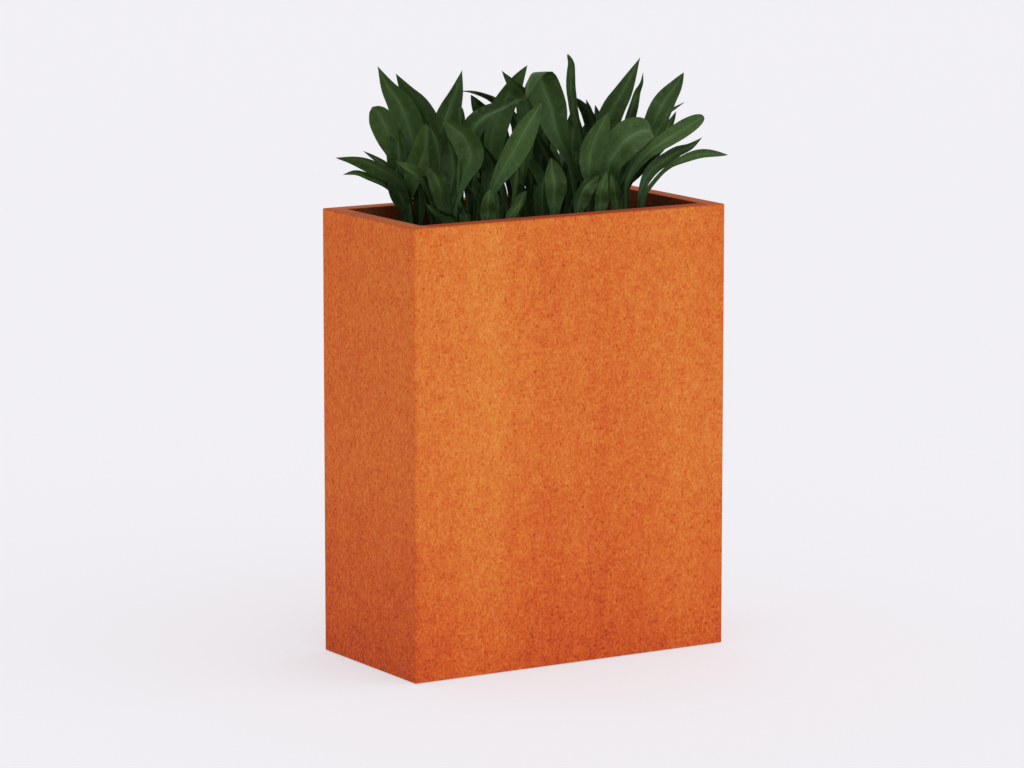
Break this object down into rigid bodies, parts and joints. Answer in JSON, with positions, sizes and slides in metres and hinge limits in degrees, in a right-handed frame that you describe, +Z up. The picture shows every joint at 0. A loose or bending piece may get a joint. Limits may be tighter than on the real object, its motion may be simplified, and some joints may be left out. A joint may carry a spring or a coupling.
{
  "type": "planter box",
  "caption": "Tall rectangular weathering-steel planter with an inward folded rim, full of broad dark green strap leaves, with a lift-out planting liner and screw-levelled feet.",
  "frame": {"origin": "on the ground at the centre of the box's footprint", "axes": "+Z up, +X along the wide face, -Y out of the wide front face"},
  "size_m": [0.98, 0.41, 1.33],
  "materials": {
    "weathering_steel": "matt orange-brown rust patina, speckled",
    "bare_steel": "dark mill scale and thin rust",
    "galvanised_steel": "hot-dip galvanised, dull spangle",
    "zinc_plated_steel": "zinc plated",
    "foot_plastic": "moulded, matt black",
    "rubber": "matt",
    "pipe_plastic": "moulded, dark grey",
    "expanded_clay": "fired clay granules",
    "fleece": "non-woven",
    "soil": "moist dark compost",
    "foliage": "dark green, softly glossy leaves"
  },
  "bodies": {
    "box": {"base_angle_front": "bare_steel", "base_angle_left": "bare_steel", "base_angle_rear": "bare_steel", "base_angle_right": "bare_steel", "corner_welds": "weathering_steel", "floor_bolts": "zinc_plated_steel", "floor_nuts": "zinc_plated_steel", "floor_plate": "bare_steel", "foot_brackets": "bare_steel", "foot_nuts": "zinc_plated_steel", "front_panel": "weathering_steel", "front_stiffener": "bare_steel", "left_panel": "weathering_steel", "liner_pad_left": "rubber", "liner_pad_right": "rubber", "liner_rail_left": "galvanised_steel", "liner_rail_right": "galvanised_steel", "rail_bolts": "zinc_plated_steel", "rail_brackets": "bare_steel", "rail_nuts": "zinc_plated_steel", "rear_panel": "weathering_steel", "rear_stiffener": "bare_steel", "right_panel": "weathering_steel", "rim_gussets": "weathering_steel"},
    "liner": {"liner_tub": "galvanised_steel", "liner_rim_band": "galvanised_steel", "clay_layer": "expanded_clay", "filter_fleece": "fleece", "soil": "soil", "standpipe": "pipe_plastic", "standpipe_backnut": "pipe_plastic", "strainer_cap": "pipe_plastic", "handle_lugs": "galvanised_steel", "foliage_clump_1": "foliage", "foliage_clump_2": "foliage", "foliage_clump_3": "foliage", "foliage_clump_4": "foliage", "foliage_clump_5": "foliage", "foliage_clump_6": "foliage"},
    "handle_left": {"handle_left": "galvanised_steel"},
    "handle_right": {"handle_right": "galvanised_steel"},
    "foot_pad_front_left": {"foot_pad_front_left": "foot_plastic"},
    "foot_stem_front_left": {"foot_stem_front_left": "zinc_plated_steel"},
    "foot_pad_front_right": {"foot_pad_front_right": "foot_plastic"},
    "foot_stem_front_right": {"foot_stem_front_right": "zinc_plated_steel"},
    "foot_pad_rear_left": {"foot_pad_rear_left": "foot_plastic"},
    "foot_stem_rear_left": {"foot_stem_rear_left": "zinc_plated_steel"},
    "foot_pad_rear_right": {"foot_pad_rear_right": "foot_plastic"},
    "foot_stem_rear_right": {"foot_stem_rear_right": "zinc_plated_steel"}
  },
  "joints": [
    {"name": "liner_lift", "type": "slide", "parent": "box", "child": "liner", "axis": [0, 0, 1], "range_m": [0, 0.45]},
    {"name": "handle_left_swing", "type": "hinge", "parent": "liner", "child": "handle_left", "pos_m": [-0.338, 0, 0.923], "axis": [0, -1, 0], "range_deg": [0, 110]},
    {"name": "handle_right_swing", "type": "hinge", "parent": "liner", "child": "handle_right", "pos_m": [0.338, 0, 0.923], "axis": [0, 1, 0], "range_deg": [0, 110]},
    {"name": "foot_front_left_travel", "type": "slide", "parent": "box", "child": "foot_pad_front_left", "axis": [0, 0, -1], "range_m": [0, 0.0105]},
    {"name": "foot_front_left_screw", "type": "hinge", "parent": "foot_pad_front_left", "child": "foot_stem_front_left", "pos_m": [-0.35, -0.15, 0.03], "axis": [0, 0, -1], "range_deg": [0, 2160]},
    {"name": "foot_front_right_travel", "type": "slide", "parent": "box", "child": "foot_pad_front_right", "axis": [0, 0, -1], "range_m": [0, 0.0105]},
    {"name": "foot_front_right_screw", "type": "hinge", "parent": "foot_pad_front_right", "child": "foot_stem_front_right", "pos_m": [0.35, -0.15, 0.03], "axis": [0, 0, -1], "range_deg": [0, 2160]},
    {"name": "foot_rear_left_travel", "type": "slide", "parent": "box", "child": "foot_pad_rear_left", "axis": [0, 0, -1], "range_m": [0, 0.0105]},
    {"name": "foot_rear_left_screw", "type": "hinge", "parent": "foot_pad_rear_left", "child": "foot_stem_rear_left", "pos_m": [-0.35, 0.15, 0.03], "axis": [0, 0, -1], "range_deg": [0, 2160]},
    {"name": "foot_rear_right_travel", "type": "slide", "parent": "box", "child": "foot_pad_rear_right", "axis": [0, 0, -1], "range_m": [0, 0.0105]},
    {"name": "foot_rear_right_screw", "type": "hinge", "parent": "foot_pad_rear_right", "child": "foot_stem_rear_right", "pos_m": [0.35, 0.15, 0.03], "axis": [0, 0, -1], "range_deg": [0, 2160]}
  ],
  "couplings": [
    {"joint": "foot_front_left_screw", "follows": "foot_front_left_travel", "rad_per_m": 3590.4},
    {"joint": "foot_front_right_screw", "follows": "foot_front_right_travel", "rad_per_m": 3590.4},
    {"joint": "foot_rear_left_screw", "follows": "foot_rear_left_travel", "rad_per_m": 3590.4},
    {"joint": "foot_rear_right_screw", "follows": "foot_rear_right_travel", "rad_per_m": 3590.4}
  ]
}
